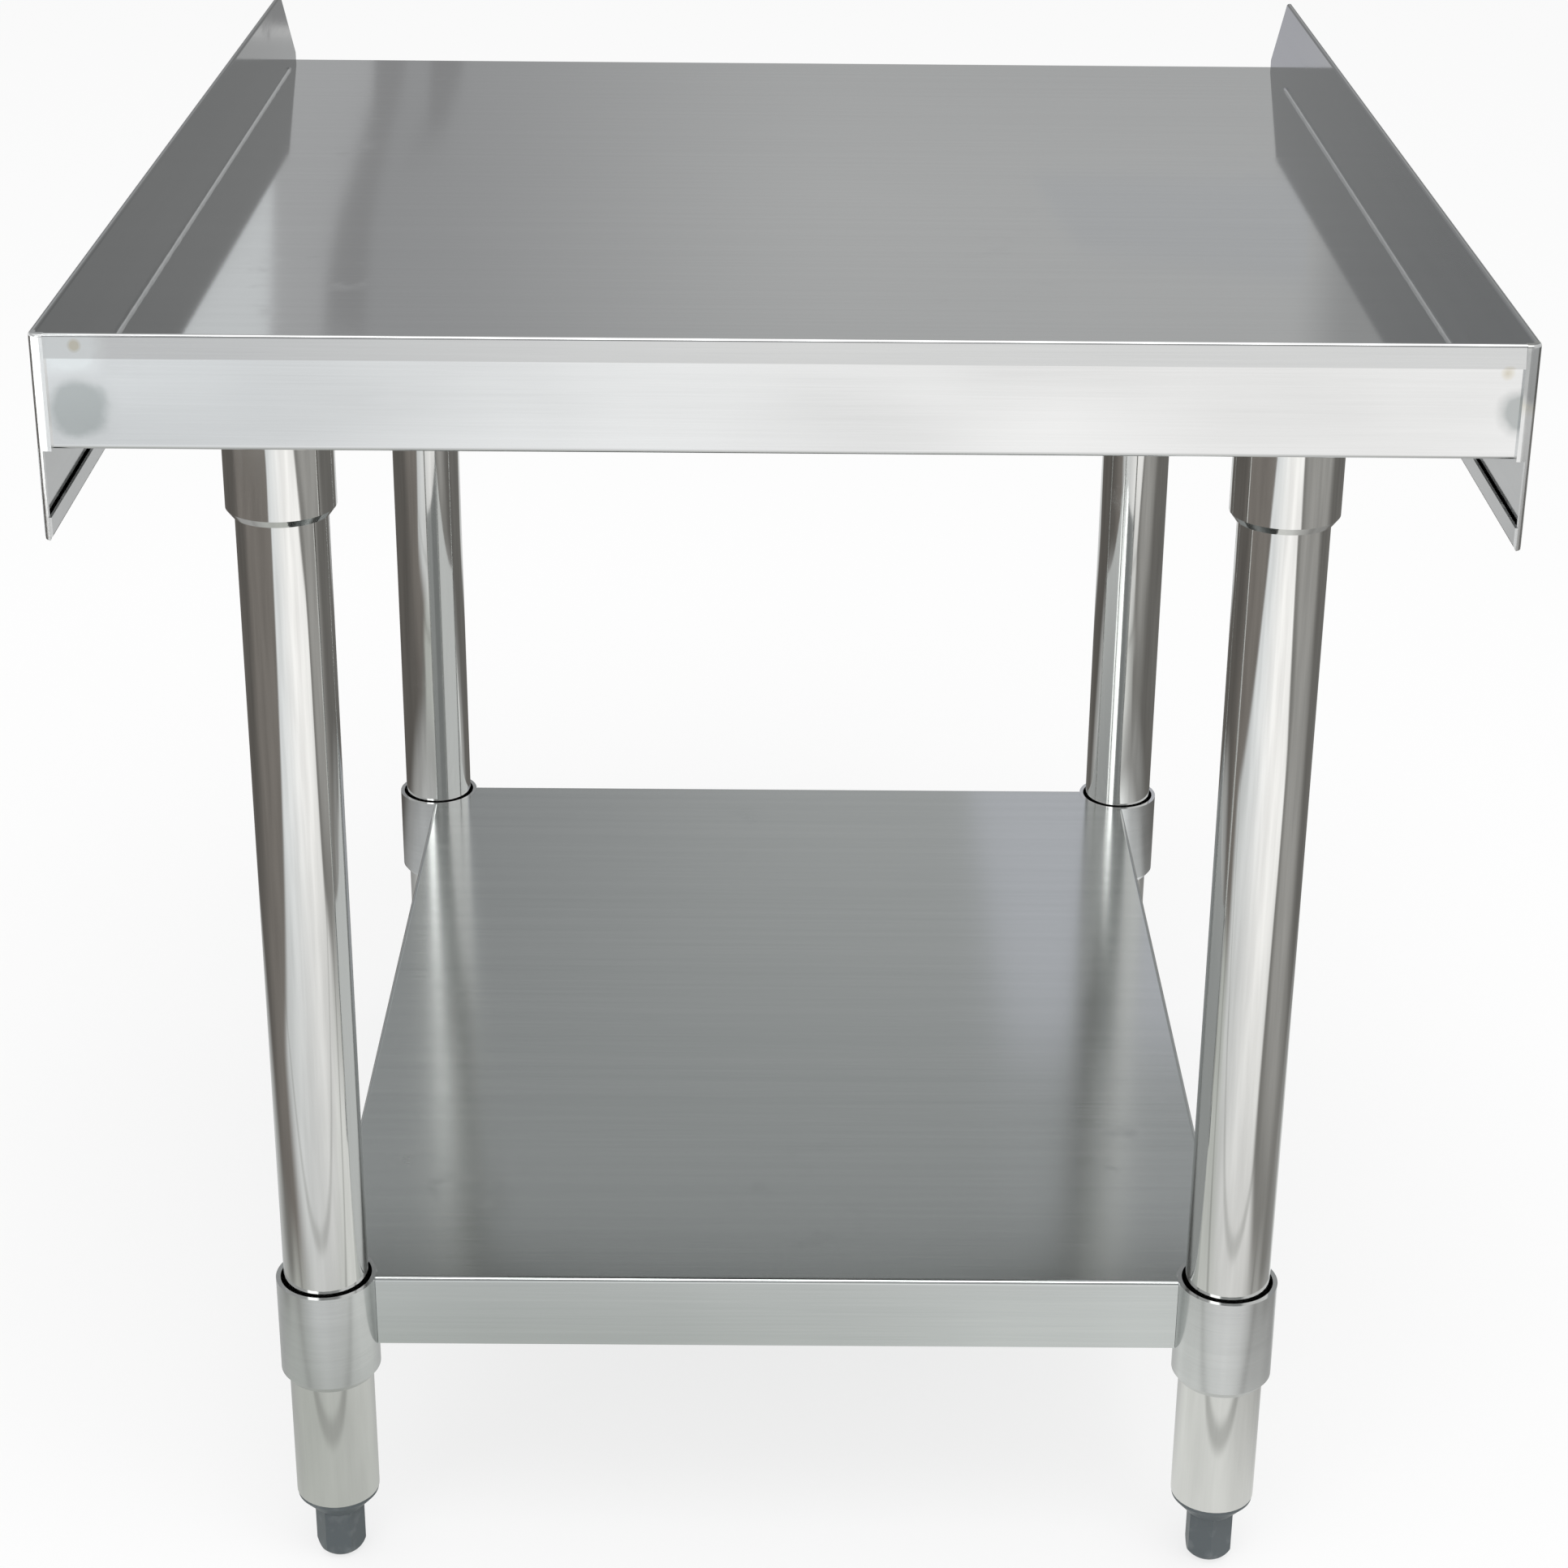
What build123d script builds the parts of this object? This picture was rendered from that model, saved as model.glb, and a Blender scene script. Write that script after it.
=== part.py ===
"""Stainless work table with a wall on three sides and an adjustable undershelf.

Millimetres, +Z up.  The origin is on the ground under the middle of the worktop.
The rear wall is at -Y and the open front at +Y; left is -X and right is +X.
"""

import os

from build123d import *

os.makedirs("parts", exist_ok=True)

# Overall sizes
worktop_width = 610.0
worktop_length = 762.0
surface_height = 618.0
rim_rise = 48.0
skirt_drop = 40.0

# Worktop sheet and side rails, folded from one gauge
sheet = 1.2
bend_radius = 1.8
hem_gap = 0.3
rear_hem_height = 10.0
rear_hem_flare = 0.8
skirt_hem_gap = 0.9
skirt_hem_height = 9.0
front_return = 14.0
front_return_end_gap = 4.0
front_slant = 50.0
front_step = 4.0
rail_end_gap = 1.0

# Welds that close the two rear corners, ground round
corner_weld_reach = 6.5
corner_weld_round = 5.0
corner_weld_edge = 1.2

# Cross channels under the worktop
channel_sheet = 1.5
channel_bend = 2.0
channel_web_margin = 5.5
channel_depth = 20.0
channel_flange = 16.0
channel_end_gap = 1.0

# Legs
leg_radius = 20.65
leg_wall = 1.2
leg_inset_side = 84.0
leg_inset_end = 93.0
leg_ground_gap = 39.0

# Sockets that hold the legs, above and at the undershelf
socket_clearance = 1.6
socket_wall = 2.25
socket_mouth_clearance = 0.35
socket_mouth_wall = 0.9
socket_taper = 3.5
socket_cap = 3.0
socket_weld_gap = 0.1
upper_socket_drop = 58.0
shelf_socket_height = 55.0

# Set screws
screw_radius = 4.0
screw_length = 10.0
screw_fit = 0.05
screw_key_flats = 4.0
screw_key_depth = 4.0
upper_screw_rise = 27.0
shelf_screw_rise = 10.0
moving_gap = 0.3

# Undershelf
shelf_height = 164.0
shelf_sheet_gauge = 1.2
shelf_bend = 2.4
shelf_apron = 38.0
shelf_return = 12.0
shelf_past_legs_side = 1.0
shelf_past_legs_end = 4.0

# Leg inserts and screw feet
insert_fit = 0.1
insert_plug = 30.0
insert_lip_setback = 0.45
insert_lip = 2.0
insert_cone = 9.0
insert_nose_radius = 12.5
nut_flats = 19.0
nut_height = 10.0
nut_rise = 5.0
nut_fit = 0.05
stud_radius = 5.9
stud_clearance = 0.4
stud_seat = 12.0
stud_fit = 0.05
foot_flats = 21.5
foot_sole_radius = 6.5
foot_dome_height = 6.0
foot_travel = 25.0
stud_spare = 2.0

# Levels and places that follow from the sizes above
half_width = worktop_width / 2
half_length = worktop_length / 2
rim_height = surface_height + rim_rise
skirt_bottom = surface_height - skirt_drop
worktop_underside = surface_height - sheet
front_bend_foot = surface_height - sheet / 2 - bend_radius
fold_pitch = sheet + hem_gap
fold_radius = 0.45 * fold_pitch
skirt_fold_pitch = sheet + skirt_hem_gap
skirt_fold_radius = 0.45 * skirt_fold_pitch
wall_thickness = fold_pitch + sheet
rear_wall_depth = wall_thickness + rear_hem_flare
leg_x = half_width - leg_inset_side
leg_y = half_length - leg_inset_end
leg_top = worktop_underside - socket_cap
socket_bore = leg_radius + socket_clearance
socket_radius = socket_bore + socket_wall
channel_web = 2 * (socket_radius + channel_web_margin)
mouth_bore = leg_radius + socket_mouth_clearance
upper_socket_bottom = worktop_underside - upper_socket_drop
shelf_socket_bottom = shelf_height - shelf_socket_height
insert_lip_radius = leg_radius - insert_lip_setback
insert_bottom = leg_ground_gap - insert_lip - insert_cone
foot_height = insert_bottom - moving_gap
nut_bottom = leg_ground_gap + nut_rise
stud_bottom = foot_height - stud_seat
stud_top = nut_bottom + nut_height + foot_travel + stud_spare
stud_bore = stud_radius + stud_clearance
sides = {"left": -1, "right": 1}
ends = {"rear": -1, "front": 1}
corners = {
    f"{end}_{side}": (sides[side] * leg_x, ends[end] * leg_y)
    for end in ends
    for side in sides
}
# Each hexagonal foot has stopped at its own turn of the screw
foot_turns = {"rear_left": 0, "rear_right": 30, "front_left": 12, "front_right": 21}


def upright_plane(x, y):
    """Plane through a leg's axis, for profiles that are turned about it."""
    return Plane(origin=(x, y, 0), x_dir=(1, 0, 0), z_dir=(0, -1, 0))


def inward(x, y):
    """Unit direction from a leg towards the middle of the table, at 45 degrees."""
    return Vector(-x / abs(x), -y / abs(y), 0).normalized()


def radial_plane(x, y, z, reach):
    """Plane that faces inwards from a leg, `reach` away from its axis."""
    out = inward(x, y)
    return Plane(origin=Vector(x, y, z) + out * reach, z_dir=out)


def hat_points(middle, top, web, depth, flange, gauge):
    """Middle line of a hat-shaped channel that hangs under a flat sheet."""
    half = web / 2 - gauge / 2
    high = top - gauge / 2
    low = top - depth + gauge / 2
    return [
        (middle - half - flange, high),
        (middle - half, high),
        (middle - half, low),
        (middle + half, low),
        (middle + half, high),
        (middle + half + flange, high),
    ]


# Worktop sheet: rear hem, rear wall, floor, front apron and its return, in one fold line
with BuildPart() as worktop_sheet:
    with BuildSketch(Plane.YZ):
        with BuildLine():
            FilletPolyline(
                (-half_length + sheet / 2, rim_height - rear_hem_height),
                (-half_length + sheet / 2 + rear_hem_flare, rim_height - sheet / 2),
                (-half_length + rear_wall_depth - sheet / 2, rim_height - sheet / 2),
                (-half_length + rear_wall_depth - sheet / 2, surface_height - sheet / 2),
                (half_length - sheet / 2, surface_height - sheet / 2),
                (half_length - sheet / 2, skirt_bottom + sheet / 2),
                (half_length - front_return, skirt_bottom + sheet / 2),
                radius=[fold_radius, fold_radius, bend_radius, bend_radius, bend_radius],
            )
        trace(line_width=sheet)
    extrude(amount=half_width - sheet, both=True)
    # Rear wall and floor end at the side rails' inner walls, and the apron at their skirts
    with BuildSketch(Plane.XZ):
        with Locations(
            (-half_width, (front_bend_foot + rim_height) / 2),
            (half_width, (front_bend_foot + rim_height) / 2),
        ):
            Rectangle(2 * wall_thickness, rim_height - front_bend_foot)
    extrude(amount=half_length, both=True, mode=Mode.SUBTRACT)
    # The rear wall stops short of the corners, which are filled with weld
    with BuildSketch(Plane.XY.offset(worktop_underside)):
        with Locations((-half_width, -half_length), (half_width, -half_length)):
            Rectangle(2 * corner_weld_reach, 2 * rear_wall_depth)
    extrude(amount=rim_height - worktop_underside, mode=Mode.SUBTRACT)
    # The return flange stops short of the hems inside the side rails
    with BuildSketch(Plane.XY.offset(skirt_bottom)):
        with Locations(
            (-half_width, half_length - front_return),
            (half_width, half_length - front_return),
        ):
            Rectangle(2 * (front_return_end_gap + sheet), 2 * (front_return - sheet))
    extrude(amount=bend_radius + sheet, mode=Mode.SUBTRACT)
worktop_sheet.part.label = "worktop_sheet"
export_step(worktop_sheet.part, "parts/worktop_sheet.step")

# Side rails: inner wall, closed rim fold, outer skirt and the open hem at its foot
for side, sign in sides.items():
    outer = sign * (half_width - sheet / 2)
    inner = outer - sign * fold_pitch
    hem = outer - sign * skirt_fold_pitch
    with BuildPart() as rail:
        with BuildSketch(Plane.XZ.offset(-half_length)):
            with BuildLine():
                FilletPolyline(
                    (inner, worktop_underside),
                    (inner, rim_height - sheet / 2),
                    (outer, rim_height - sheet / 2),
                    (outer, skirt_bottom + sheet / 2),
                    (hem, skirt_bottom + sheet / 2),
                    (hem, skirt_bottom + skirt_hem_height),
                    radius=[fold_radius, fold_radius, skirt_fold_radius, skirt_fold_radius],
                )
            trace(line_width=sheet)
        extrude(amount=worktop_length - rear_wall_depth)
        # The walls stop short of the rear corner, which is filled with weld
        with BuildSketch(Plane.XY.offset(worktop_underside)):
            with Locations((0, -half_length)):
                Rectangle(worktop_width, 2 * corner_weld_reach)
        extrude(amount=rim_height - worktop_underside, mode=Mode.SUBTRACT)
        # Slanted cut down to a low step at the open front
        with BuildSketch(Plane.YZ):
            with BuildLine():
                Polyline(
                    (half_length - front_slant, rim_height),
                    (half_length, rim_height),
                    (half_length, surface_height + front_step),
                    close=True,
                )
            make_face()
        extrude(amount=half_width, both=True, mode=Mode.SUBTRACT)
        # The hem stops before the front apron, which reaches the skirt behind it
        with BuildSketch(Plane.XZ.offset(-half_length)):
            with Locations((0, (skirt_bottom + worktop_underside) / 2)):
                Rectangle(worktop_width - 2 * sheet, worktop_underside - skirt_bottom)
        extrude(amount=sheet + rail_end_gap, mode=Mode.SUBTRACT)
    rail.part.label = f"{side}_side_rail"
    export_step(rail.part, f"parts/{side}_side_rail.step")

# Rear corner welds: they join the walls at the corners, down to the foot of the skirts,
# and are ground round on the outside
with BuildPart() as rear_corner_welds:
    for sign in sides.values():
        with BuildSketch(Plane.XY.offset(worktop_underside)):
            with Locations((sign * half_width, -half_length)):
                Rectangle(2 * corner_weld_reach, 2 * corner_weld_reach)
        extrude(amount=rim_height - worktop_underside)
    with BuildSketch(Plane.XY.offset(worktop_underside)):
        with Locations((0, -half_length + rear_wall_depth + corner_weld_reach)):
            Rectangle(worktop_width - 2 * wall_thickness, 2 * corner_weld_reach)
    extrude(amount=rim_height - worktop_underside, mode=Mode.SUBTRACT)
    with BuildSketch(Plane.XY.offset(skirt_bottom)):
        with Locations(
            (-half_width + wall_thickness / 2, -half_length + rear_wall_depth / 2),
            (half_width - wall_thickness / 2, -half_length + rear_wall_depth / 2),
        ):
            Rectangle(wall_thickness, rear_wall_depth)
    extrude(amount=worktop_underside - skirt_bottom)
    with BuildSketch(Plane.XY.offset(skirt_bottom)):
        RectangleRounded(worktop_width, worktop_length, corner_weld_round)
    extrude(amount=rim_height - skirt_bottom, mode=Mode.INTERSECT)
    top_edges = rear_corner_welds.faces().filter_by(Axis.Z).group_by(Axis.Z)[-1].edges()
    outer_edges = top_edges.filter_by(GeomType.CIRCLE)
    outer_edges += top_edges.group_by(Axis.Y)[0]
    outer_edges += top_edges.group_by(Axis.X)[0] + top_edges.group_by(Axis.X)[-1]
    fillet(outer_edges, radius=corner_weld_edge)
rear_corner_welds.part.label = "rear_corner_welds"
export_step(rear_corner_welds.part, "parts/rear_corner_welds.step")

# Cross channels: one over each pair of legs, pierced for the leg sockets
for end, sign in ends.items():
    with BuildPart() as channel:
        with BuildSketch(Plane.YZ):
            with BuildLine():
                FilletPolyline(
                    *hat_points(
                        sign * leg_y,
                        worktop_underside,
                        channel_web,
                        channel_depth,
                        channel_flange,
                        channel_sheet,
                    ),
                    radius=channel_bend,
                )
            trace(line_width=channel_sheet)
        extrude(amount=half_width - sheet - channel_end_gap, both=True)
        with Locations((-leg_x, sign * leg_y), (leg_x, sign * leg_y)):
            Hole(radius=socket_radius + socket_weld_gap)
    channel.part.label = f"{end}_cross_channel"
    export_step(channel.part, f"parts/{end}_cross_channel.step")

# Upper sockets: capped tubes under the floor, swaged in to the leg at the lower end
for corner, (x, y) in corners.items():
    with BuildPart() as socket:
        with BuildSketch(upright_plane(x, y)):
            with BuildLine():
                Polyline(
                    (0, worktop_underside),
                    (socket_radius, worktop_underside),
                    (socket_radius, upper_socket_bottom + socket_taper),
                    (mouth_bore + socket_mouth_wall, upper_socket_bottom),
                    (mouth_bore, upper_socket_bottom),
                    (socket_bore, upper_socket_bottom + socket_taper),
                    (socket_bore, leg_top),
                    (0, leg_top),
                    close=True,
                )
            make_face()
        revolve(axis=Axis((x, y, 0), (0, 0, 1)))
        with BuildSketch(radial_plane(x, y, upper_socket_bottom + upper_screw_rise, leg_radius)):
            Circle(screw_radius + screw_fit)
        extrude(amount=screw_length, mode=Mode.SUBTRACT)
    socket.part.label = f"{corner}_upper_socket"
    export_step(socket.part, f"parts/{corner}_upper_socket.step")

# Legs: round tubes from the leg inserts up to the socket caps
for corner, (x, y) in corners.items():
    with BuildPart() as leg:
        with BuildSketch(Plane.XY.offset(leg_ground_gap)):
            with Locations((x, y)):
                Circle(leg_radius)
                Circle(leg_radius - leg_wall, mode=Mode.SUBTRACT)
        extrude(amount=leg_top - leg_ground_gap)
    leg.part.label = f"{corner}_leg"
    export_step(leg.part, f"parts/{corner}_leg.step")

# Undershelf: pan with aprons and return flanges, cut round at the corners for the sockets
shelf_half_width = leg_x + shelf_past_legs_side
shelf_half_length = leg_y + shelf_past_legs_end
with BuildPart() as shelf_sheet:
    with BuildSketch(Plane.XY.offset(shelf_height)):
        Rectangle(2 * shelf_half_width, 2 * shelf_half_length)
    extrude(amount=-shelf_apron)
    fillet(shelf_sheet.faces().sort_by(Axis.Z)[-1].edges(), radius=shelf_bend)
    offset(amount=-shelf_sheet_gauge, openings=shelf_sheet.faces().sort_by(Axis.Z)[0])
    with BuildSketch(Plane.XY.offset(shelf_height - shelf_apron)):
        Rectangle(2 * shelf_half_width, 2 * shelf_half_length)
        Rectangle(
            2 * (shelf_half_width - shelf_return),
            2 * (shelf_half_length - shelf_return),
            mode=Mode.SUBTRACT,
        )
    extrude(amount=shelf_sheet_gauge)
    with Locations(*corners.values()):
        Hole(radius=socket_radius + socket_weld_gap)
shelf_sheet.part.label = "shelf_sheet"
export_step(shelf_sheet.part, "parts/shelf_sheet.step")

# Stiffening channel along the middle of the undershelf
with BuildPart() as shelf_channel:
    with BuildSketch(Plane.XZ):
        with BuildLine():
            FilletPolyline(
                *hat_points(
                    0,
                    shelf_height - shelf_sheet_gauge,
                    channel_web,
                    channel_depth,
                    channel_flange,
                    channel_sheet,
                ),
                radius=channel_bend,
            )
        trace(line_width=channel_sheet)
    extrude(amount=shelf_half_length - shelf_bend - channel_end_gap, both=True)
shelf_channel.part.label = "shelf_channel"
export_step(shelf_channel.part, "parts/shelf_channel.step")

# Undershelf sockets: open tubes flush with the shelf, swaged in to the leg below
for corner, (x, y) in corners.items():
    with BuildPart() as shelf_socket:
        with BuildSketch(upright_plane(x, y)):
            with BuildLine():
                Polyline(
                    (socket_bore, shelf_height),
                    (socket_radius, shelf_height),
                    (socket_radius, shelf_socket_bottom + socket_taper),
                    (mouth_bore + socket_mouth_wall, shelf_socket_bottom),
                    (mouth_bore, shelf_socket_bottom),
                    (socket_bore, shelf_socket_bottom + socket_taper),
                    close=True,
                )
            make_face()
        revolve(axis=Axis((x, y, 0), (0, 0, 1)))
        with BuildSketch(radial_plane(x, y, shelf_socket_bottom + shelf_screw_rise, leg_radius)):
            Circle(screw_radius + screw_fit)
        extrude(amount=screw_length, mode=Mode.SUBTRACT)
    shelf_socket.part.label = f"{corner}_shelf_socket"
    export_step(shelf_socket.part, f"parts/{corner}_shelf_socket.step")

# Set screws: the upper four press on the legs, the shelf's four are slack
screw_sets = {
    "upper_set_screws": (upper_socket_bottom + upper_screw_rise, leg_radius),
    "shelf_set_screws": (shelf_socket_bottom + shelf_screw_rise, leg_radius + moving_gap),
}
for name, (level, reach) in screw_sets.items():
    with BuildPart() as set_screws:
        for x, y in corners.values():
            with BuildSketch(radial_plane(x, y, level, reach)):
                Circle(screw_radius)
            extrude(amount=screw_length)
            with BuildSketch(radial_plane(x, y, level, reach + screw_length)):
                RegularPolygon(radius=screw_key_flats / 2, side_count=6, major_radius=False)
            extrude(amount=-screw_key_depth, mode=Mode.SUBTRACT)
    set_screws.part.label = name
    export_step(set_screws.part, f"parts/{name}.step")

# Leg inserts: plug, lip and cone in one moulding, with a nut moulded inside
for corner, (x, y) in corners.items():
    plug_radius = leg_radius - leg_wall - insert_fit
    with BuildPart() as insert:
        with BuildSketch(upright_plane(x, y)):
            with BuildLine():
                Polyline(
                    (stud_bore, insert_bottom),
                    (insert_nose_radius, insert_bottom),
                    (insert_lip_radius, leg_ground_gap - insert_lip),
                    (insert_lip_radius, leg_ground_gap),
                    (plug_radius, leg_ground_gap),
                    (plug_radius, leg_ground_gap + insert_plug),
                    (stud_bore, leg_ground_gap + insert_plug),
                    close=True,
                )
            make_face()
        revolve(axis=Axis((x, y, 0), (0, 0, 1)))
        with BuildSketch(Plane.XY.offset(nut_bottom)):
            with Locations((x, y)):
                RegularPolygon(
                    radius=nut_flats / 2 + nut_fit,
                    side_count=6,
                    major_radius=False,
                )
        extrude(amount=nut_height, mode=Mode.SUBTRACT)
    insert.part.label = f"{corner}_leg_insert"
    export_step(insert.part, f"parts/{corner}_leg_insert.step")

# Nuts inside the leg inserts
with BuildPart() as insert_nuts:
    with BuildSketch(Plane.XY.offset(nut_bottom)):
        with Locations(*corners.values()):
            RegularPolygon(radius=nut_flats / 2, side_count=6, major_radius=False)
            Circle(stud_bore, mode=Mode.SUBTRACT)
    extrude(amount=nut_height)
insert_nuts.part.label = "insert_nuts"
export_step(insert_nuts.part, "parts/insert_nuts.step")

# Screw feet: hexagonal mouldings with a domed sole and a socket for the stud
for corner, (x, y) in corners.items():
    with BuildPart() as foot:
        with BuildSketch(Plane.XY):
            with Locations((x, y)):
                RegularPolygon(
                    radius=foot_flats / 2,
                    side_count=6,
                    major_radius=False,
                    rotation=foot_turns[corner],
                )
        extrude(amount=foot_height)
        with BuildSketch(upright_plane(x, y)):
            with BuildLine():
                sole = Line((0, 0), (foot_sole_radius, 0))
                dome = RadiusArc(sole @ 1, (foot_flats / 3**0.5, foot_dome_height), -foot_flats / 2)
                Polyline(dome @ 1, (foot_flats / 3**0.5, foot_height), (0, foot_height), sole @ 0)
            make_face()
        revolve(axis=Axis((x, y, 0), (0, 0, 1)), mode=Mode.INTERSECT)
        with BuildSketch(Plane.XY.offset(foot_height)):
            with Locations((x, y)):
                Circle(stud_radius + stud_fit)
        extrude(amount=-stud_seat, mode=Mode.SUBTRACT)
    foot.part.label = f"{corner}_foot"
    export_step(foot.part, f"parts/{corner}_foot.step")

# Studs: plain rods that stand for the threaded studs moulded into the feet
for corner, (x, y) in corners.items():
    with BuildPart() as stud:
        with BuildSketch(Plane.XY.offset(stud_bottom)):
            with Locations((x, y)):
                Circle(stud_radius)
        extrude(amount=stud_top - stud_bottom)
    stud.part.label = f"{corner}_foot_stud"
    export_step(stud.part, f"parts/{corner}_foot_stud.step")
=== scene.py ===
"""Looks of the stainless work table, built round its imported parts."""

import math
import random

import bmesh
import bpy
from mathutils import Matrix, Vector


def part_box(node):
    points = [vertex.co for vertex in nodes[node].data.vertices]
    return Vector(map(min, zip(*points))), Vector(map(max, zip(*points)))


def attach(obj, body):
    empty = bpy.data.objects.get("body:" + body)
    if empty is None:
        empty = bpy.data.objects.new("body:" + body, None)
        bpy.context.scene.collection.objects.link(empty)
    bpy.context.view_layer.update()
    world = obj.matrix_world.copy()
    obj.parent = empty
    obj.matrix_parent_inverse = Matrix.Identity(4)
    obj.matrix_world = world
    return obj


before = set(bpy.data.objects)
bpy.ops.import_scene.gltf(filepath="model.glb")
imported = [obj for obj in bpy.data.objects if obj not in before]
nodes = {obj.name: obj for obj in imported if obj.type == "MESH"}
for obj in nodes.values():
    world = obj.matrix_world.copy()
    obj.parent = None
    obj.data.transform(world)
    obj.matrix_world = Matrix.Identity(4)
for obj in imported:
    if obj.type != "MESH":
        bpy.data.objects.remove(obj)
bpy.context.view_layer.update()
scene = bpy.context.scene


# Worktop: one folded sheet with the raised rear wall, the floor and the front apron.
# It is stainless steel, rolled bright and finely brushed along its width, and the
# rear corners are welded, ground smooth and left with a trace of heat colour.
def new_group(name, inputs, outputs):
    """Empty shader node group with named sockets, and its input and output nodes."""
    group = bpy.data.node_groups.new(name, "ShaderNodeTree")
    for label, kind, value in inputs:
        socket = group.interface.new_socket(label, in_out="INPUT", socket_type=kind)
        socket.default_value = value
    for label, kind in outputs:
        group.interface.new_socket(label, in_out="OUTPUT", socket_type=kind)
    enter = group.nodes.new("NodeGroupInput")
    leave = group.nodes.new("NodeGroupOutput")
    return group, enter, leave


def add_math(tree, operation, a, b=None, clamp=False):
    """Math node whose inputs are sockets or plain numbers."""
    node = tree.nodes.new("ShaderNodeMath")
    node.operation = operation
    node.use_clamp = clamp
    for slot, value in enumerate((a, b)):
        if isinstance(value, (int, float)):
            node.inputs[slot].default_value = value
        elif value is not None:
            tree.links.new(value, node.inputs[slot])
    return node.outputs[0]


def add_noise(tree, vector, scale, detail, roughness=0.5):
    """Noise texture value at a vector socket."""
    node = tree.nodes.new("ShaderNodeTexNoise")
    node.inputs["Scale"].default_value = scale
    node.inputs["Detail"].default_value = detail
    node.inputs["Roughness"].default_value = roughness
    tree.links.new(vector, node.inputs["Vector"])
    return node.outputs["Fac"]


def add_span(tree, value, low, high, to_low=0.0, to_high=1.0):
    """Smooth step of a value socket between two levels."""
    node = tree.nodes.new("ShaderNodeMapRange")
    node.interpolation_type = "SMOOTHSTEP"
    node.inputs["From Min"].default_value = low
    node.inputs["From Max"].default_value = high
    node.inputs["To Min"].default_value = to_low
    node.inputs["To Max"].default_value = to_high
    tree.links.new(value, node.inputs["Value"])
    return node.outputs["Result"]


def build_brushing():
    """Fine brushed lines, stretched along the directions with the small scales."""
    group, enter, leave = new_group(
        "Brushed lines",
        (
            ("Vector", "NodeSocketVector", (0, 0, 0)),
            ("Scales", "NodeSocketVector", (20, 900, 900)),
        ),
        (("Lines", "NodeSocketFloat"), ("Streaks", "NodeSocketFloat")),
    )
    stretch = group.nodes.new("ShaderNodeVectorMath")
    stretch.operation = "MULTIPLY"
    group.links.new(enter.outputs["Vector"], stretch.inputs[0])
    group.links.new(enter.outputs["Scales"], stretch.inputs[1])
    fine = add_noise(group, stretch.outputs[0], 1.0, 4.0, 0.65)
    broad = add_noise(group, stretch.outputs[0], 0.12, 3.0, 0.6)
    group.links.new(add_span(group, fine, 0.25, 0.75), leave.inputs["Lines"])
    group.links.new(add_span(group, broad, 0.3, 0.7), leave.inputs["Streaks"])
    return group


def build_handling():
    """Cloudy wipe marks, sparse smudges and short hairline scratches."""
    group, enter, leave = new_group(
        "Handling marks",
        (("Vector", "NodeSocketVector", (0, 0, 0)),),
        (
            ("Clouds", "NodeSocketFloat"),
            ("Smudges", "NodeSocketFloat"),
            ("Scratches", "NodeSocketFloat"),
        ),
    )
    clouds = add_noise(group, enter.outputs["Vector"], 5.0, 3.0, 0.55)
    spots = add_noise(group, enter.outputs["Vector"], 38.0, 4.0, 0.6)
    patch = add_noise(group, enter.outputs["Vector"], 9.0, 2.0)
    smudges = add_math(
        group, "MULTIPLY", add_span(group, spots, 0.52, 0.74), add_span(group, patch, 0.5, 0.7)
    )
    turned = group.nodes.new("ShaderNodeMapping")
    turned.inputs["Rotation"].default_value = (0.3, 0.5, 0.9)
    turned.inputs["Scale"].default_value = (14, 700, 260)
    group.links.new(enter.outputs["Vector"], turned.inputs["Vector"])
    hair = add_noise(group, turned.outputs["Vector"], 1.0, 1.0)
    scratches = add_math(
        group, "MULTIPLY", add_span(group, hair, 0.72, 0.8), add_span(group, patch, 0.45, 0.62)
    )
    group.links.new(clouds, leave.inputs["Clouds"])
    group.links.new(smudges, leave.inputs["Smudges"])
    group.links.new(scratches, leave.inputs["Scratches"])
    return group


def build_round_patch():
    """Soft round patch about a centre, with a ragged edge, for ground and heated metal and for a
    painted highlight.
    """
    group, enter, leave = new_group(
        "Round patch",
        (
            ("Vector", "NodeSocketVector", (0, 0, 0)),
            ("Centre", "NodeSocketVector", (0, 0, 0)),
            ("Radius", "NodeSocketFloat", 0.02),
        ),
        (("Patch", "NodeSocketFloat"), ("Rim", "NodeSocketFloat")),
    )
    apart = group.nodes.new("ShaderNodeVectorMath")
    apart.operation = "DISTANCE"
    group.links.new(enter.outputs["Vector"], apart.inputs[0])
    group.links.new(enter.outputs["Centre"], apart.inputs[1])
    raggedness = 0.44
    ragged = add_noise(group, enter.outputs["Vector"], 110.0, 2.0)
    reach = add_math(group, "MULTIPLY", ragged, raggedness)
    reach = add_math(group, "SUBTRACT", reach, raggedness / 2)
    share = add_math(group, "DIVIDE", apart.outputs["Value"], enter.outputs["Radius"])
    share = add_math(group, "ADD", share, reach)
    patch = add_span(group, share, 0.7, 1.1, 1.0, 0.0)
    outer = add_span(group, share, 0.9, 1.4, 1.0, 0.0)
    group.links.new(patch, leave.inputs["Patch"])
    group.links.new(add_math(group, "SUBTRACT", outer, patch, True), leave.inputs["Rim"])
    return group


brushing = build_brushing()
handling = build_handling()
round_patching = build_round_patch()


def place_group(tree, group, vector, **values):
    """Group node fed by a vector socket, with its own values."""
    node = tree.nodes.new("ShaderNodeGroup")
    node.node_tree = group
    tree.links.new(vector, node.inputs["Vector"])
    for label, value in values.items():
        node.inputs[label].default_value = value
    return node


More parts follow.
